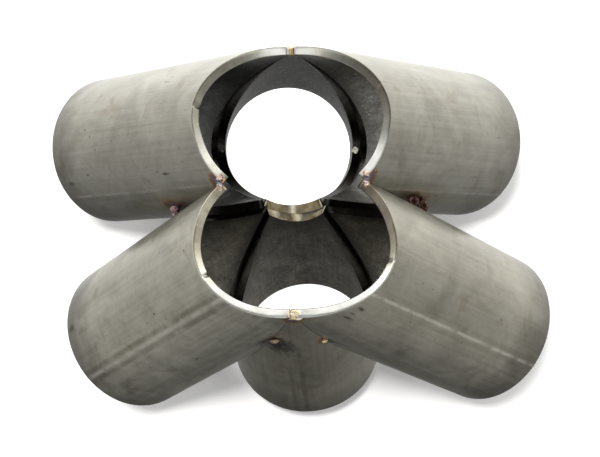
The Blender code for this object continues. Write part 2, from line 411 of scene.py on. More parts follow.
def waist(off, half):
    """A bead that bridges two edges: thin over the gap in its middle."""
    width = 0.55 + 0.45 * min(1, abs(off.y) / half.y) ** 0.8
    return Vector((off.x * width, off.y, off.z * width))


def crater(off, half):
    """A bead burnt in from above, with a raised ring and a hollow middle."""
    out = Vector((off.x / half.x, off.y / half.y)).length
    hollow = 1.1 * math.exp(-((out / 0.45) ** 2)) if off.z > 0 else 0
    return Vector((off.x, off.y, off.z * (1 - hollow)))


def puddle(off, half):
    """A plain bead, a little flatter on top."""
    return Vector((off.x, off.y, off.z * (0.8 if off.z > 0 else 1)))


def make_bead(name, finish, scale, shift, form):
    """A bead of weld metal grown on the CAD's own: smoothed, formed, scaled and moved, then made lumpy."""
    shape = bmesh.new()
    shape.from_mesh(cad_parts[name].data)
    bmesh.ops.remove_doubles(shape, verts=shape.verts, dist=1e-6)
    coarse = bpy.data.meshes.new(name + "_coarse")
    shape.to_mesh(coarse)
    shape.free()
    bead = bpy.data.objects.new(name + "_bead", coarse)
    bpy.context.scene.collection.objects.link(bead)
    bead.modifiers.new("smooth", "SUBSURF").levels = 2
    graph = bpy.context.evaluated_depsgraph_get()
    fine = bpy.data.meshes.new_from_object(bead.evaluated_get(graph))
    fine.name = name + "_bead"
    bead.modifiers.clear()
    bead.data = fine
    bpy.data.meshes.remove(coarse)

    low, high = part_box(name)
    middle, half = (low + high) / 2, (high - low) / 2
    normals = [vertex.normal.copy() for vertex in fine.vertices]
    for vertex, normal in zip(fine.vertices, normals):
        off = form(vertex.co - middle, half)
        lump = noise.noise(vertex.co * COARSE_LUMPS) + 0.6 * noise.noise(vertex.co * FINE_LUMPS)
        drift = 5 * noise.noise(vertex.co * RIPPLE_DRIFT)
        lump += 0.5 * math.cos(off.y / RIPPLE * 2 * math.pi + drift)
        scaled = Vector(map(math.prod, zip(off, scale)))
        raised = normal * LUMPS * half.length / TYPICAL_BEAD * lump
        vertex.co = middle + Vector(shift) / 1000 + scaled + raised
        vertex.co.z = min(vertex.co.z, MOUTH_HEIGHT)
    fine.shade_smooth()
    fine.materials.clear()
    fine.materials.append(finish)
    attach(bead, "root")
    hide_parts(name)
    return bead


# Node helpers


def add(tree, kind, inputs=None, **settings):
    """A shader node, with its settings, and its inputs linked or set."""
    made = tree.nodes.new("ShaderNode" + kind)
    for key, value in settings.items():
        setattr(made, key, value)
    for key, value in (inputs or {}).items():
        socket = made.inputs[key]
        if isinstance(value, bpy.types.NodeSocket):
            tree.links.new(value, socket)
        else:
            socket.default_value = value
    return made


def calc(tree, operation, first, second=0.0, clamp=False):
    made = add(tree, "Math", {0: first, 1: second}, operation=operation)
    made.use_clamp = clamp
    return made.outputs[0]


def noise_of(tree, vector, scale, detail=3.0, rough=0.55, lumpy=0.0):
    inputs = {"Vector": vector, "Scale": scale, "Detail": detail, "Roughness": rough, "Distortion": lumpy}
    return add(tree, "TexNoise", inputs).outputs["Fac"]


def remap(tree, value, low, high, to_low=0.0, to_high=1.0):
    inputs = {"Value": value, "From Min": low, "From Max": high, "To Min": to_low, "To Max": to_high}
    return add(tree, "MapRange", inputs, interpolation_type="SMOOTHSTEP").outputs["Result"]


def ramp(tree, value, stops):
    """A colour ramp of (position, colour) stops."""
    made = add(tree, "ValToRGB", {"Fac": value})
    elements = made.color_ramp.elements
    while len(elements) < len(stops):
        elements.new(0.5)
    for element, (position, colour) in zip(elements, stops):
        element.position = position
        element.color = (*colour, 1)
    return made.outputs["Color"]


def blend(tree, share, under, over, how="MIX"):
    """Mixes two colours."""
    made = add(tree, "Mix", data_type="RGBA", blend_type=how)
    for index, value in ((0, share), (6, under), (7, over)):
        socket = made.inputs[index]
        if isinstance(value, bpy.types.NodeSocket):
            tree.links.new(value, socket)
        else:
            socket.default_value = value if index == 0 else (*value, 1)
    return made.outputs[2]


def total(tree, *weighted):
    """A sum of values, each times its weight."""
    answer = None
    for value, weight in weighted:
        part = calc(tree, "MULTIPLY", value, weight)
        answer = part if answer is None else calc(tree, "ADD", answer, part)
    return answer


def stretched(tree, point, scales, turn=(0, 0, 0)):
    return add(tree, "Mapping", {"Vector": point, "Rotation": turn, "Scale": scales}).outputs[0]


def new_finish(name):
    """A material, its tree and its shader."""
    made = bpy.data.materials.new(name)
    made.use_nodes = True
    return made, made.node_tree, made.node_tree.nodes["Principled BSDF"]


def frame_point(tree):
    """Coordinates in the CAD's frame, in millimetres."""
    own = add(tree, "TexCoord").outputs["Object"]
    return add(tree, "VectorMath", {0: own, "Scale": 1000.0}, operation="SCALE").outputs[0]


def pipe_point(tree, variant):
    """Coordinates in the pipe's own frame, in millimetres, and the same moved, so that pipes differ."""
    point = add(tree, "Attribute", attribute_name="pipe_point").outputs["Vector"]
    moved = add(tree, "VectorMath", {0: point, 1: (0, 0, 200.0 * variant)}, operation="ADD").outputs[0]
    return point, moved


def wire(tree, shader, colour, roughness, height, depth):
    tree.links.new(colour, shader.inputs["Base Color"])
    tree.links.new(roughness, shader.inputs["Roughness"])
    bump = add(tree, "Bump", {"Height": height, "Strength": 1.0, "Distance": depth})
    tree.links.new(bump.outputs[0], shader.inputs["Normal"])


# Finishes

ASKEW = (0.7, 0.4, 1.1)  # turns noise away from the pipe's axes, in radians
SCALE_BLACK = (0.015, 0.015, 0.013)

# Heat tint, from the middle of a heated spot to the end of its reach
HEAT_TINT = [
    (0.00, (0.22, 0.20, 0.20)),
    (0.30, (0.16, 0.16, 0.21)),
    (0.46, (0.20, 0.11, 0.13)),
    (0.62, (0.24, 0.11, 0.045)),
    (0.80, (0.36, 0.25, 0.12)),
    (1.00, (0.40, 0.36, 0.27)),
]


def nearness_to(tree, point, spots):
    """0 at the middle of the nearest heated spot, 1 at the end of its reach."""
    nearest = None
    ruffle = noise_of(tree, point, 0.8, 3)
    for middle, reach in spots:
        far = add(tree, "VectorMath", {0: point, 1: middle}, operation="DISTANCE").outputs["Value"]
        share = calc(tree, "DIVIDE", far, reach)
        nearest = share if nearest is None else calc(tree, "MINIMUM", nearest, share)
    return calc(tree, "ADD", nearest, total(tree, (calc(tree, "SUBTRACT", ruffle, 0.5), 0.7)))


def with_heat(tree, point, colour, spots, strength):
    if not spots:
        return colour
    near = nearness_to(tree, point, spots)
    tint = ramp(tree, near, HEAT_TINT)
    share = remap(tree, near, 0.55, 1.05, strength, 0.0)
    return blend(tree, share, colour, tint)


SOOT_BLACK = (0.012, 0.011, 0.010)


def with_soot(tree, point, colour, smokes):
    """Soot blown beside a tack, in ellipses given by their middle and reach."""
    for middle, reach, density in smokes:
        off = add(tree, "VectorMath", {0: point, 1: middle}, operation="SUBTRACT").outputs[0]
        scaled = add(tree, "VectorMath", {0: off, 1: reach}, operation="DIVIDE").outputs[0]
        far = add(tree, "VectorMath", {0: scaled}, operation="LENGTH").outputs["Value"]
        ruffle = calc(tree, "SUBTRACT", noise_of(tree, point, 0.7, 4), 0.5)
        share = remap(tree, total(tree, (far, 1), (ruffle, 1.1)), 0.15, 1.0, density, 0.0)
        colour = blend(tree, share, colour, SOOT_BLACK)
    return colour


def pits_of(tree, point, cell, radius, share):
    """1 in small pits, which only some of the cells hold."""
    made = add(tree, "TexVoronoi", {"Vector": point, "Scale": 1 / cell, "Randomness": 1.0})
    chance = add(tree, "SeparateColor", {"Color": made.outputs["Color"]}).outputs[0]
    hole = remap(tree, made.outputs["Distance"], 0.4 * radius / cell, radius / cell, 1.0, 0.0)
    return calc(tree, "MULTIPLY", hole, calc(tree, "LESS_THAN", chance, share))


def seam_masks(tree, point, turn):
    """1 on the pipe's own longitudinal weld, and 1 on the bands of painted shade on both sides of it."""
    angle = math.radians(turn)
    outward = (math.cos(angle), math.sin(angle), 0)
    sideways = (-math.sin(angle), math.cos(angle), 0)
    off = add(tree, "VectorMath", {0: point, 1: sideways}, operation="DOT_PRODUCT").outputs["Value"]
    side = add(tree, "VectorMath", {0: point, 1: outward}, operation="DOT_PRODUCT").outputs["Value"]
    outside = calc(tree, "GREATER_THAN", side, 0)
    drifting = stretched(tree, point, (0.2, 0.2, 1))
    wander = calc(tree, "SUBTRACT", noise_of(tree, drifting, 0.3, 3), 0.5)
    off = calc(tree, "ABSOLUTE", total(tree, (off, 1), (wander, 0.4)))
    worn = remap(tree, noise_of(tree, drifting, 0.13, 4, 0.7), 0.38, 0.56, 0.15, 1.0)
    ridge = calc(tree, "MULTIPLY", remap(tree, off, 0.2, 0.75, 1.0, 0.0), worn)
    apart = calc(tree, "ABSOLUTE", calc(tree, "SUBTRACT", off, 1.75))
    patches = stretched(tree, point, (0.3, 0.3, 1), (0, 0, 1))
    seam_shade_patches = remap(tree, noise_of(tree, patches, 0.07, 3, 0.6), 0.38, 0.60)
    seam_shade = calc(tree, "MULTIPLY", remap(tree, apart, 0.3, 1.2, 1.0, 0.0), seam_shade_patches)
    return calc(tree, "MULTIPLY", ridge, outside), calc(tree, "MULTIPLY", seam_shade, outside)


# Dark, middle and light tones of the mill finish
STEEL_TONES = [(0.235, 0.225, 0.190), (0.325, 0.314, 0.268), (0.415, 0.404, 0.350)]
# How strongly each pipe's own weld shows as a light line, and as two dark lines of painted shade beside it
SEAM_LOOKS = {
    (REAR, LEFT): (0.24, 0.12),
    (REAR, CENTRE): (0.20, 0.20),
    (REAR, RIGHT): (0.22, 0.10),
    (FRONT, LEFT): (0.26, 0.62),
    (FRONT, CENTRE): (0.03, 0.50),
    (FRONT, RIGHT): (0.42, 0.22),
}


# How much painted shade darkens each pipe near its inlet end, low down by the floor
PAINTED_END_SHADE = {
    (REAR, LEFT): 0.62,
    (REAR, CENTRE): 0.62,
    (REAR, RIGHT): 0.62,
    (FRONT, LEFT): 0.80,
    (FRONT, CENTRE): 0.66,
    (FRONT, RIGHT): 0.78,
}


def shaded(tones, shade):
    return [tuple(map(math.prod, zip(colour, shade))) for colour in tones]


def mill_finish(name, key, variant, spots, smokes):
    """Outside of the pipe: dull drawn stainless, clouded, streaked, pitted and scratched, with painted shade.
    """
    made, tree, shader = new_finish(name)
    point, moved = pipe_point(tree, variant)
    turned = stretched(tree, moved, (1, 1, 1), ASKEW)
    lengthways = stretched(tree, moved, (1, 1, 0.03))
    slanted = stretched(tree, moved, (0.06, 1.2, 1.2), (0.5, 0.7, 0.4))
    cloud = noise_of(tree, turned, 0.06, 2, 0.5, 0.8)
    mottle = noise_of(tree, turned, 0.22, 5, 0.6, 0.8)
    streak = noise_of(tree, lengthways, 0.7, 5, 0.65)
    fine_streak = noise_of(tree, lengthways, 3.0, 3)
    grain = noise_of(tree, turned, 4.5, 3, 0.7)
    tone = total(tree, (cloud, 0.34), (mottle, 0.22), (streak, 0.24), (fine_streak, 0.08), (grain, 0.12))
    # each pipe's own tint, times its painted light and shade
    dark, middle, light = shaded(STEEL_TONES, PIPE_SHADES[key])
    colour = ramp(tree, tone, [(0.38, dark), (0.50, middle), (0.62, light)])

    pits = pits_of(tree, turned, 3.4, 0.34, 0.30)
    pocked = remap(tree, noise_of(tree, turned, 0.08, 2), 0.55, 0.65)
    small_pits = calc(tree, "MULTIPLY", pits_of(tree, turned, 1.5, 0.26, 0.40), pocked)
    pits = calc(tree, "MAXIMUM", pits, small_pits)
    scratch = remap(tree, noise_of(tree, slanted, 1.0, 2, 0.4), 0.70, 0.76)
    smudge = remap(tree, noise_of(tree, turned, 0.11, 4, 0.6, 0.9), 0.54, 0.72)
    ridge, seam_shade = seam_masks(tree, point, SEAMS[key])
    ridge_share, seam_shade_share = SEAM_LOOKS[key]
    # painted shade: the outside darkens towards the mitres, as in the creases between the pipes
    painted_joint_shade = remap(tree, joint_distance(tree, moved), 0.15, 1.3, 0.75, 0.0)
    down = add(tree, "SeparateXYZ", {0: point}).outputs[2]
    from_end = calc(tree, "SUBTRACT", length_of(*key) * 1000, down)
    from_end = total(tree, (from_end, 1), (calc(tree, "SUBTRACT", cloud, 0.5), 14))
    # painted shade: darker towards the inlet end, low down by the floor
    end_shade = remap(tree, from_end, 1.0, 20.0, PAINTED_END_SHADE[key], 0.0)
    painted_seam_shade = calc(tree, "MULTIPLY", seam_shade, seam_shade_share)
    colour = blend(tree, calc(tree, "MULTIPLY", smudge, 0.45), colour, (0.60, 0.52, 0.42), "MULTIPLY")
    colour = blend(tree, end_shade, colour, (0.50, 0.50, 0.50), "MULTIPLY")
    colour = blend(tree, calc(tree, "MULTIPLY", scratch, 0.20), colour, (0.55, 0.54, 0.50))
    # painted shade in two dark bands beside the raised seam
    colour = blend(tree, painted_seam_shade, colour, (0.45, 0.42, 0.38), "MULTIPLY")
    colour = blend(tree, calc(tree, "MULTIPLY", ridge, ridge_share), colour, (0.75, 0.73, 0.66))
    colour = blend(tree, calc(tree, "MULTIPLY", pits, 0.75), colour, (0.05, 0.045, 0.04))
    colour = blend(tree, painted_joint_shade, colour, (0.05, 0.042, 0.035))
    colour = with_heat(tree, point, colour, spots, 0.9)
    colour = with_soot(tree, point, colour, smokes)

    roughness = total(tree, (mottle, 0.20), (streak, 0.14), (grain, 0.08), (ridge, -0.05))
    roughness = calc(tree, "ADD", roughness, 0.16)
    worn = total(tree, (grain, 0.25), (streak, 0.22), (fine_streak, 0.14), (mottle, 0.16))
    height = total(tree, (worn, 1), (pits, -0.9), (scratch, -0.2))
    wire(tree, shader, colour, roughness, height, 0.00005)
    shader.inputs["Metallic"].default_value = 1.0
    return made


def joint_distance(tree, point):
    """Distance from the nearest mitre in millimetres, a little ragged."""
    apart = add(tree, "Attribute", attribute_name="from_joint").outputs["Fac"]
    ragged = calc(tree, "SUBTRACT", noise_of(tree, point, 0.9, 3), 0.5)
    return total(tree, (apart, 1), (ragged, 1.2))


# Dark, middle and light tones of the scaled bores
BORE_TONES = [(0.055, 0.052, 0.046), (0.155, 0.150, 0.134), (0.33, 0.32, 0.285)]


def bore_finish(name, variant, seam, spots, shade, glint):
    """Inside of the pipe: darker, scaled and speckled, with painted glints, painted shade near the joints and
    a painted shade for each pipe.
    """
    made, tree, shader = new_finish(name)
    point, moved = pipe_point(tree, variant)
    lengthways = stretched(tree, moved, (1, 1, 0.05))
    turned = stretched(tree, moved, (1, 1, 1), ASKEW)
    cloud = noise_of(tree, turned, 0.12, 3, 0.5, 0.6)
    mottle = noise_of(tree, turned, 0.55, 5, 0.7, 0.6)
    streak = noise_of(tree, lengthways, 0.8, 4, 0.6)
    grain = noise_of(tree, turned, 3.2, 3, 0.7)
    tone = total(tree, (cloud, 0.28), (mottle, 0.36), (streak, 0.18), (grain, 0.18))
    # the bore's tones times its painted light and shade for each pipe
    dark, middle, light = shaded(BORE_TONES, shade)
    colour = ramp(tree, tone, [(0.36, dark), (0.50, middle), (0.66, light)])
    coarse_specks = pits_of(tree, turned, 2.1, 0.40, 0.35)
    specks = calc(tree, "MAXIMUM", coarse_specks, pits_of(tree, turned, 1.1, 0.24, 0.45))
    line = seam_masks(tree, point, seam)[0]
    colour = blend(tree, calc(tree, "MULTIPLY", line, 0.45), colour, (0.30, 0.29, 0.26))
    # painted glints: bright specks in patches of the bore, standing in for light caught by its scale
    scaled = remap(tree, noise_of(tree, turned, 0.09, 3, 0.6), 0.42, 0.60)
    painted_glints = calc(tree, "MULTIPLY", pits_of(tree, turned, 1.0, 0.40, 0.55), scaled)
    colour = blend(tree, calc(tree, "MULTIPLY", painted_glints, glint), colour, (0.75, 0.73, 0.68))
    colour = blend(tree, calc(tree, "MULTIPLY", specks, 0.85), colour, SCALE_BLACK)
    # painted shade: the bore darkens towards the joints, in the crevices between the pipes
    bore_joint_shade = remap(tree, joint_distance(tree, turned), 0.5, 11.0, 0.55, 0.0)
    colour = blend(tree, bore_joint_shade, colour, (0.03, 0.03, 0.03))
    colour = with_heat(tree, point, colour, spots, 0.6)
    roughness = total(tree, (mottle, 0.25), (grain, 0.15))
    roughness = calc(tree, "ADD", roughness, 0.26)
    height = total(tree, (grain, 0.35), (mottle, 0.5), (streak, 0.25), (specks, -0.8))
    wire(tree, shader, colour, roughness, height, 0.00008)
    shader.inputs["Metallic"].default_value = 1.0
    return made


# Heated metal of the land beside a tack
HEATED_LAND = [(0.25, (0.62, 0.42, 0.34)), (0.50, (0.75, 0.42, 0.12)), (0.85, (0.85, 0.74, 0.5))]


def rim_finish(name, key, variant, spots):
    """The mouth's dressed land, with its brightness round the pipe painted in as light and reflection."""
    made, tree, shader = new_finish(name)
    point, moved = pipe_point(tree, variant)
    split = add(tree, "SeparateXYZ", {0: point})
    angle = calc(tree, "ARCTAN2", split.outputs[1], split.outputs[0])
    turn = calc(tree, "FRACT", calc(tree, "ADD", calc(tree, "DIVIDE", angle, 2 * math.pi), 1.0))
    ragged = calc(tree, "SUBTRACT", noise_of(tree, moved, 0.5, 3), 0.5)
    turn = total(tree, (turn, 1), (ragged, 0.02))
    # painted light and reflection: the land's brightness and hue round the pipe
    stops = []
    for degrees, painted_shine, hue in PAINTED_RIM_LIGHT[key]:
        stops.append((degrees / 360, tuple(painted_shine * channel for channel in hue)))
    colour = ramp(tree, turn, stops)
    marks = noise_of(tree, moved, 2.6, 4, 0.7)
    cloud = noise_of(tree, moved, 0.35, 3)
    stain = total(tree, (marks, 0.5), (cloud, 0.5))
    stain = ramp(tree, stain, [(0.36, (0.72, 0.69, 0.62)), (0.55, (1, 1, 1))])
    colour = blend(tree, 0.8, colour, stain, "MULTIPLY")
    if spots:
        near = nearness_to(tree, point, spots)
        gold = ramp(tree, near, HEATED_LAND)
        colour = blend(tree, remap(tree, near, 0.35, 0.85, 0.9, 0.0), colour, gold)
    roughness = calc(tree, "ADD", total(tree, (marks, 0.2), (cloud, 0.1)), 0.16)
    height = total(tree, (marks, 0.6), (cloud, 0.4))
    wire(tree, shader, colour, roughness, height, 0.000012)
    shader.inputs["Metallic"].default_value = 1.0
    return made


def cut_finish(name, variant, dark, light, metallic):
    """A sawn edge, with fine marks across it."""
    made, tree, shader = new_finish(name)
    moved = pipe_point(tree, variant)[1]
    marks = noise_of(tree, moved, 2.6, 4, 0.7)
    cloud = noise_of(tree, moved, 0.25, 3)
    tone = total(tree, (marks, 0.45), (cloud, 0.55))
    colour = ramp(tree, tone, [(0.38, dark), (0.60, light)])
    roughness = calc(tree, "ADD", total(tree, (marks, 0.25), (cloud, 0.1)), 0.16)
    height = total(tree, (marks, 0.6), (cloud, 0.4))
    wire(tree, shader, colour, roughness, height, 0.00006)
    shader.inputs["Metallic"].default_value = metallic
    return made


def weld_finish(name, tones, metallic, bridging):
    """Weld metal: shiny and oxidised in blotches, with a painted dark reflection in the middle where it
    bridges two edges.
    """
    made, tree, shader = new_finish(name)
    point = frame_point(tree)
    blotch = noise_of(tree, point, 0.9, 4, 0.6, 0.5)
    grain = noise_of(tree, point, 4.0, 3, 0.6)
    tone = total(tree, (blotch, 0.8), (grain, 0.2))
    colour = ramp(tree, tone, tones)
    if bridging:
        along = calc(tree, "ABSOLUTE", add(tree, "SeparateXYZ", {0: point}).outputs[1])
        along = total(tree, (along, 1), (blotch, 1.2))
        # painted reflection and shade: dark blue-grey in the valley of a bridging bead
        colour = blend(tree, remap(tree, along, 1.1, 1.9, 0.85, 0.0), colour, (0.07, 0.08, 0.11))
    roughness = calc(tree, "ADD", total(tree, (blotch, 0.25), (grain, 0.1)), 0.12)
    height = total(tree, (grain, 0.6), (blotch, 0.6))
    wire(tree, shader, colour, roughness, height, 0.00008)
    shader.inputs["Metallic"].default_value = metallic
    return made


# Tones of the weld metal, from its dark patches to its bright ones
GOLD = [(0.36, (0.50, 0.30, 0.12)), (0.50, (0.86, 0.66, 0.36)), (0.64, (0.95, 0.88, 0.70))]
CREAM = [(0.38, (0.40, 0.24, 0.10)), (0.48, (0.86, 0.70, 0.42)), (0.60, (0.98, 0.95, 0.84))]
PINK = [(0.36, (0.42, 0.24, 0.17)), (0.48, (0.72, 0.50, 0.40)), (0.60, (0.97, 0.90, 0.82))]
PLUM = [(0.40, (0.07, 0.04, 0.045)), (0.53, (0.26, 0.155, 0.165)), (0.67, (0.66, 0.50, 0.48))]
RUST = [(0.40, (0.035, 0.02, 0.016)), (0.54, (0.11, 0.055, 0.04)), (0.70, (0.34, 0.22, 0.18))]
SOOTY = [(0.36, (0.10, 0.07, 0.05)), (0.50, (0.42, 0.29, 0.19)), (0.64, (0.72, 0.56, 0.44))]
SILVER = [(0.36, (0.45, 0.43, 0.35)), (0.50, (0.78, 0.75, 0.62)), (0.64, (0.97, 0.95, 0.87))]

# Each tack: its tones, how metallic, how far its heat tint reaches in millimetres, its size as a share of the
# CAD bead's along X, Y and Z, how far it is moved in millimetres, and its form
TACK_LOOKS = {
    "tack_mouth_rear": (GOLD, 0.9, 3.4, (1.3, 1.1, 1.1), (-0.6, 0, 0.4), puddle),
    "tack_mouth_front": (CREAM, 0.8, 4.4, (1.25, 1.1, 1.1), (0.8, 0, 0.55), puddle),
    "tack_mouth_left": (PINK, 0.85, 5.0, (1.0, 1.05, 1.1), (0.8, 0.3, 0.4), waist),
    "tack_mouth_right": (PINK, 0.85, 5.0, (1.0, 1.05, 1.1), (-1.0, 0.1, 0.4), waist),
    "tack_flank_left": (PLUM, 0.9, 6.5, (0.8, 1.0, 0.75), (-0.2, 0.3, 0), puddle),
    "tack_flank_right_high": (RUST, 0.8, 4.6, (0.95, 0.8, 0.7), (0, 0, 0), crater),
    "tack_flank_right_low": (RUST, 0.8, 5.2, (1.0, 0.8, 0.7), (0, 0, 0), crater),
    "tack_front_left": (SOOTY, 0.9, 4.0, (1.35, 0.9, 0.8), (0.7, 0, -0.2), puddle),
    "tack_front_right": (GOLD, 0.9, 3.2, (0.9, 0.9, 0.9), (0, 0, 0), puddle),
    "tack_rear_left": (SOOTY, 0.9, 4.0, (1.35, 0.9, 0.8), (0, 0, 0), puddle),
    "tack_rear_right": (GOLD, 0.9, 3.2, (0.9, 0.9, 0.9), (0, 0, 0), puddle),
    "tack_bore_left": (SILVER, 0.3, 2.4, (0.8, 0.8, 0.8), (0, 0, 0), puddle),
    "tack_bore_right": (SILVER, 0.2, 2.8, (1.1, 1.2, 1.1), (-0.2, 0, 0), puddle),
    "tack_middle": (SILVER, 0.7, 3.2, (0.9, 0.8, 0.6), (0, 0, 0), puddle),
}
# Soot beside a tack: the tack, where the soot lies from it, its reach across and along the pipe, both in
# millimetres, and its density
SMOKES = [
    ("tack_front_left", Vector((1.2, -1.4, -4.0)), (5.6, 9.5), 0.97),
    ("tack_front_left", Vector((-2.4, 0.2, -1.6)), (3.2, 5.0), 0.85),
    ("tack_front_left", Vector((4.6, -0.8, -4.5)), (3.4, 8.0), 0.55),
    ("tack_front_right", Vector((1.8, -0.6, -1.6)), (2.8, 3.6), 0.70),
    ("tack_flank_left", Vector((1.2, 0.6, -0.5)), (3.6, 3.6), 0.75),
    ("tack_flank_left", Vector((-2.4, 0.4, -1.2)), (3.4, 3.4), 0.55),
    ("tack_flank_right_low", Vector((0.3, 0.6, -0.4)), (2.6, 2.6), 0.65),
    ("tack_rear_left", Vector((1.2, 1.4, -4.0)), (4.6, 8.0), 0.90),
]
# Marks left on the outside: degrees round the pipe, millimetres down it, reach across and along it, and
# density
MARKS = {
    (REAR, LEFT): [
        (131.5, 35.5, 0.7, 2.6, 0.75),
        (133.5, 39.0, 0.4, 1.6, 0.6),
        (203.3, 37.7, 0.5, 1.8, 0.6),
        (208.5, 37.1, 0.4, 1.2, 0.5),
        (171.9, 75.1, 0.7, 0.9, 0.6),
        (166.0, 72.0, 0.5, 0.7, 0.6),
        (155.6, 69.1, 0.6, 0.6, 0.6),
        (131.3, 88.1, 1.2, 2.8, 0.55),
        (137.2, 76.6, 0.6, 1.4, 0.5),
    ],
    (REAR, RIGHT): [(232.9, 67.7, 0.5, 2.8, 0.45), (253.1, 54.0, 0.6, 1.6, 0.45)],
    (FRONT, LEFT): [
        (165.0, 42.7, 0.55, 0.55, 0.85),
        (190.3, 87.7, 1.8, 2.6, 0.65),
        (118.1, 44.6, 0.5, 1.6, 0.55),
    ],
    (FRONT, RIGHT): [
        (233.6, 14.9, 0.6, 2.8, 0.75),
        (222.8, 15.8, 1.0, 2.6, 0.75),
        (228.9, 14.9, 0.5, 1.8, 0.6),
    ],
    (FRONT, CENTRE): [(221.8, 48.3, 0.5, 1.0, 0.7)],
}

# Shade of each pipe's outside: its own tint, with painted light and shade that makes a pipe brighter or
# darker as it is lit
PIPE_SHADES = {
    (REAR, LEFT): (0.93, 0.93, 0.93),
    (REAR, CENTRE): (0.95, 0.95, 0.95),
    (REAR, RIGHT): (0.93, 0.93, 0.92),
    (FRONT, LEFT): (1.10, 1.10, 1.08),
    (FRONT, CENTRE): (0.84, 0.82, 0.75),
    (FRONT, RIGHT): (0.96, 0.95, 0.92),
}
# The insides: their shade, painted light and shade for how each pipe's inside is lit, and how strongly the
# painted glints show
BORE_LOOKS = {
    (REAR, LEFT): ((0.72, 0.74, 0.78), 0.30),
    (REAR, CENTRE): ((0.58, 0.59, 0.62), 0.90),
    (REAR, RIGHT): ((1.45, 1.45, 1.45), 0.80),
    (FRONT, LEFT): ((1.12, 1.08, 1.00), 0.15),
    (FRONT, CENTRE): ((1.12, 1.08, 1.00), 0.20),
    (FRONT, RIGHT): ((1.12, 1.08, 1.00), 0.15),
}


# How far from a pipe's wall the middle of a tack, or of its soot, may be to mark that pipe
HEAT_REACHES, SOOT_REACHES = 0.004, 0.006


def middle_of(name):
    low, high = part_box(name)
    return (low + high) / 2


def spots_near(bank, place, widening):
    """Heated spots on a pipe, in its own frame and millimetres."""
    inwards = pipe_frame(bank, place).inverted()
    spots = []
    for name, (_, _, reach, _, _, _) in TACK_LOOKS.items():
        local = inwards @ middle_of(name)
        if abs(local.xy.length - PIPE_RADIUS) < HEAT_REACHES:
            spots.append((tuple(local * 1000), reach * widening))
    return spots


def smokes_on(bank, place):
    """The marks and the soot on a pipe, in its own frame and millimetres."""
    inwards = pipe_frame(bank, place).inverted()
    found = []
    for turn, down, across, along, density in MARKS.get((bank, place), []):
        angle, out = math.radians(turn), PIPE_RADIUS * 1000
        middle = (out * math.cos(angle), out * math.sin(angle), down)
        found.append((middle, (across, across, along), density))
    for name, off, (across, along), density in SMOKES:
        local = inwards @ (middle_of(name) + off / 1000)
        if abs(local.xy.length - PIPE_RADIUS) < SOOT_REACHES:
            found.append((tuple(local * 1000), (across, across, along), density))
    return found


# The land round the mouth: degrees round the pipe, how much light it reflects there, and its hue. This
# brightness
# is painted light and reflection: bright over the top and the bottom of the figure 8, dull at its sides, with
# painted shadow at the cusps.
WHITE, CREAMY, OLIVE = (1, 1, 0.96), (1, 0.98, 0.88), (1, 0.97, 0.80)
TAN, BRONZE = (1, 0.95, 0.74), (1, 0.88, 0.70)
PAINTED_RIM_LIGHT = {
    (REAR, LEFT): [
        (121, 0.18, TAN),
        (127, 0.68, CREAMY),
        (140, 0.76, CREAMY),
        (148, 0.58, CREAMY),
        (162, 0.36, OLIVE),
        (214, 0.43, OLIVE),
        (236, 0.68, CREAMY),
        (241, 0.94, WHITE),
        (248, 1.00, WHITE),
    ],
    (REAR, CENTRE): [(0, 1.00, WHITE)],
    (REAR, RIGHT): [
        (108, 1.00, WHITE),
        (122, 0.81, CREAMY),
        (128, 0.53, CREAMY),
        (147, 0.23, OLIVE),
        (172, 0.16, BRONZE),
        (204, 0.23, CREAMY),
        (212, 0.48, WHITE),
        (221, 0.78, WHITE),
        (236, 0.81, WHITE),
        (241, 0.42, TAN),
    ],
    (FRONT, LEFT): [
        (104, 0.48, CREAMY),
        (110, 0.77, WHITE),
        (124, 0.61, WHITE),
        (150, 0.53, WHITE),
        (166, 0.64, CREAMY),
        (172, 0.84, CREAMY),
        (184, 0.61, TAN),
        (204, 0.43, TAN),
        (230, 0.68, TAN),
    ],
    (FRONT, CENTRE): [(0, 1.00, WHITE)],
    (FRONT, RIGHT): [
        (121, 0.18, BRONZE),
        (134, 0.29, BRONZE),
        (149, 0.21, BRONZE),
        (177, 0.35, TAN),
        (188, 1.00, CREAMY),
        (197, 1.00, WHITE),
        (208, 0.73, WHITE),
        (221, 0.53, WHITE),
        (248, 0.61, WHITE),
    ],
}

# Other cut faces: darkest tone, lightest tone and how metallic. The grooves are near black: painted shade
# between the pipes. The inner edges of the cuts have their own, which is dark in front: painted shade where
# it parts the land from the bore.
SHADED_GROOVE_CUT = ((0.03, 0.029, 0.026), (0.10, 0.095, 0.08), 1.0)
SADDLE_CUT = ((0.40, 0.29, 0.13), (0.96, 0.91, 0.74), 0.9)
END_CUT = ((0.30, 0.29, 0.26), (0.55, 0.53, 0.48), 1.0)
EDGE_CUTS = {
    REAR: ((0.10, 0.095, 0.085), (0.48, 0.46, 0.40), 1.0),
    # painted shade: the front's inner edges are dark where they part the land from the bore
    FRONT: ((0.03, 0.028, 0.025), (0.15, 0.14, 0.12), 1.0),
}


RIM_HEAT = 0.7  # how far heat tint reaches over the land, as a share of its reach over the outside


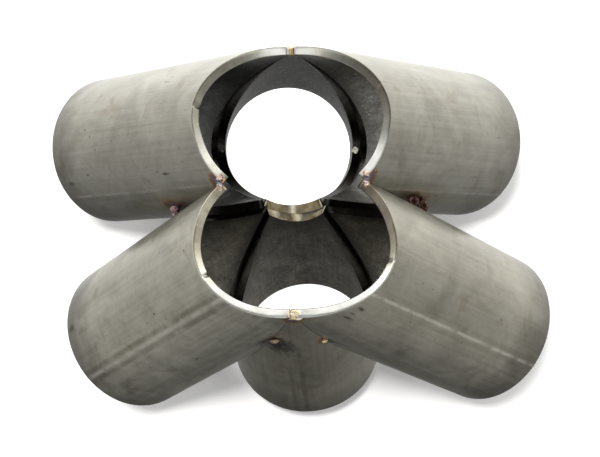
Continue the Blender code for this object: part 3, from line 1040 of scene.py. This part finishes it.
def dress_collector():
    for variant, (key, seam) in enumerate(SEAMS.items()):
        name = f"{BANK_NAMES[key[0]]}_{PLACE_NAMES[key[1]]}"
        spots = spots_near(*key, 1.0)
        finishes = [
            mill_finish(name + "_mill_finish", key, variant, spots, smokes_on(*key)),
            rim_finish(name + "_rim", key, variant, spots_near(*key, RIM_HEAT)),
            cut_finish(name + "_groove", variant, *SHADED_GROOVE_CUT),
            cut_finish(name + "_saddle", variant, *SADDLE_CUT),
            bore_finish(name + "_bore", variant, seam, spots, *BORE_LOOKS[key]),
            cut_finish(name + "_inlet_end", variant, *END_CUT),
            cut_finish(name + "_bore_edge", variant, *EDGE_CUTS[key[0]]),
        ]
        make_pipe(*key, finishes)
    for name, (tones, metallic, _, scale, shift, form) in TACK_LOOKS.items():
        metal = weld_finish(name + "_metal", tones, metallic, form is waist)
        make_bead(name, metal, scale, shift, form)


# Studio

# Soft boxes all round: azimuth from the rear towards the right and elevation in degrees, how narrow, and
# radiance. The rear is bright, also below the horizon, and the front is dim. The two narrow ones stand high,
# behind and in front, and show in the outsides and in the land of the mouth.
SOFT_BOXES = [
    (0, 9, 4, 1.00),
    (45, 9, 4, 1.70),
    (90, 9, 4, 0.15),
    (135, 9, 4, 0.46),
    (180, 9, 4, 0.57),
    (225, 9, 4, 0.60),
    (270, 9, 4, 0.42),
    (315, 9, 4, 1.40),
    (0, -35, 4, 2.15),
    (90, -35, 4, 0.60),
    (180, -35, 4, 0.12),
    (270, -35, 4, 0.28),
    (0, 47, 14, 1.00),
    (180, 80, 30, 1.60),
]
# The floor glows under the object, painted light in an ellipse that lifts the shadow there: its middle, its
# half sizes, how far out it has faded as a share of them, and the glow in it and round it
GLOW_MIDDLE, GLOW_SIZE, GLOW_FADE = (0, 0.016, 0), (0.031, 0.048, 1), 1.5
GLOW_UNDER, GLOW_ROUND = 0.95, 0.12
FLOOR_SIZE, FLOOR_DROP = 6, 0.0002
BACKDROP = (0.93, 0.93, 0.93)
KEY_POWER, KEY_WIDTH, KEY_AIM = 2.3, 11, (0.15, -0.03, -1)


def direction_of(azimuth, elevation):
    around, up = math.radians(azimuth), math.radians(elevation)
    return math.sin(around) * math.cos(up), math.cos(around) * math.cos(up), math.sin(up)


def make_studio():
    """Soft light all round, and a plain backdrop."""
    world = bpy.data.worlds.new("studio")
    bpy.context.scene.world = world
    world.use_nodes = True
    tree = world.node_tree
    looking = add(tree, "TexCoord").outputs["Generated"]
    level = None
    for azimuth, elevation, narrow, radiance in SOFT_BOXES:
        aim = direction_of(azimuth, elevation)
        facing = add(tree, "VectorMath", {0: looking, 1: aim}, operation="DOT_PRODUCT").outputs["Value"]
        lobe = calc(tree, "POWER", calc(tree, "MAXIMUM", facing, 0.0), narrow)
        part = calc(tree, "MULTIPLY", lobe, radiance)
        level = part if level is None else calc(tree, "ADD", level, part)
    background = tree.nodes["Background"]
    background.inputs["Color"].default_value = (1.0, 1.0, 0.99, 1)
    seen = add(tree, "LightPath").outputs["Is Camera Ray"]
    plain = add(tree, "Background", {"Color": (*BACKDROP, 1), "Strength": 1.0})
    either = add(tree, "MixShader", {0: seen, 1: background.outputs[0], 2: plain.outputs[0]})
    tree.links.new(level, background.inputs["Strength"])
    tree.links.new(either.outputs[0], tree.nodes["World Output"].inputs[0])


def make_floor():
    bpy.ops.mesh.primitive_plane_add(size=FLOOR_SIZE, location=(0, 0, -FLOOR_DROP))
    floor = bpy.context.active_object
    floor.name = "studio_floor"
    made, tree, shader = new_finish("pale_floor")
    point = frame_point(tree)
    tone = noise_of(tree, point, 0.02, 3)
    colour = ramp(tree, tone, [(0.3, (0.90, 0.90, 0.90)), (0.7, (0.93, 0.93, 0.93))])
    tree.links.new(colour, shader.inputs["Base Color"])
    shader.inputs["Roughness"].default_value = 0.9
    shader.inputs["Specular IOR Level"].default_value = 0.1
    own = add(tree, "TexCoord").outputs["Object"]
    off = add(tree, "VectorMath", {0: own, 1: GLOW_MIDDLE}, operation="SUBTRACT").outputs[0]
    off = add(tree, "VectorMath", {0: off, 1: GLOW_SIZE}, operation="DIVIDE").outputs[0]
    out = add(tree, "VectorMath", {0: off}, operation="LENGTH").outputs["Value"]
    # painted light: the floor glows under the object, which lifts its shadow there
    glow = remap(tree, out, 1.0, GLOW_FADE, GLOW_UNDER, GLOW_ROUND)
    tree.links.new(glow, shader.inputs["Emission Strength"])
    shader.inputs["Emission Color"].default_value = (1, 1, 1, 1)
    floor.data.materials.append(made)
    floor.visible_glossy = False


def make_key():
    lamp = bpy.data.lights.new("key", "SUN")
    lamp.energy = KEY_POWER
    lamp.angle = math.radians(KEY_WIDTH)
    lamp.color = (1.0, 0.99, 0.97)
    key = bpy.data.objects.new("key", lamp)
    aim = Vector(KEY_AIM)
    key.rotation_euler = aim.to_track_quat("-Z", "Y").to_euler()
    key.location = aim * -1.0
    key.visible_glossy = False
    bpy.context.scene.collection.objects.link(key)


def make_camera():
    """A camera at the photograph's viewing angle."""
    lens = bpy.data.cameras.new("camera")
    lens.sensor_width = 36
    lens.lens = 90.65
    lens.shift_x = 0.0120
    lens.shift_y = -0.0477
    camera = bpy.data.objects.new("camera", lens)
    camera.location = (0.00287, -0.11605, 0.50692)
    camera.rotation_euler = [math.radians(turn) for turn in (14.704, 0.825, -1.330)]
    bpy.context.scene.collection.objects.link(camera)
    bpy.context.scene.camera = camera


bpy.context.scene.view_settings.view_transform = "Standard"
make_camera()
dress_collector()
make_floor()
make_studio()
make_key()
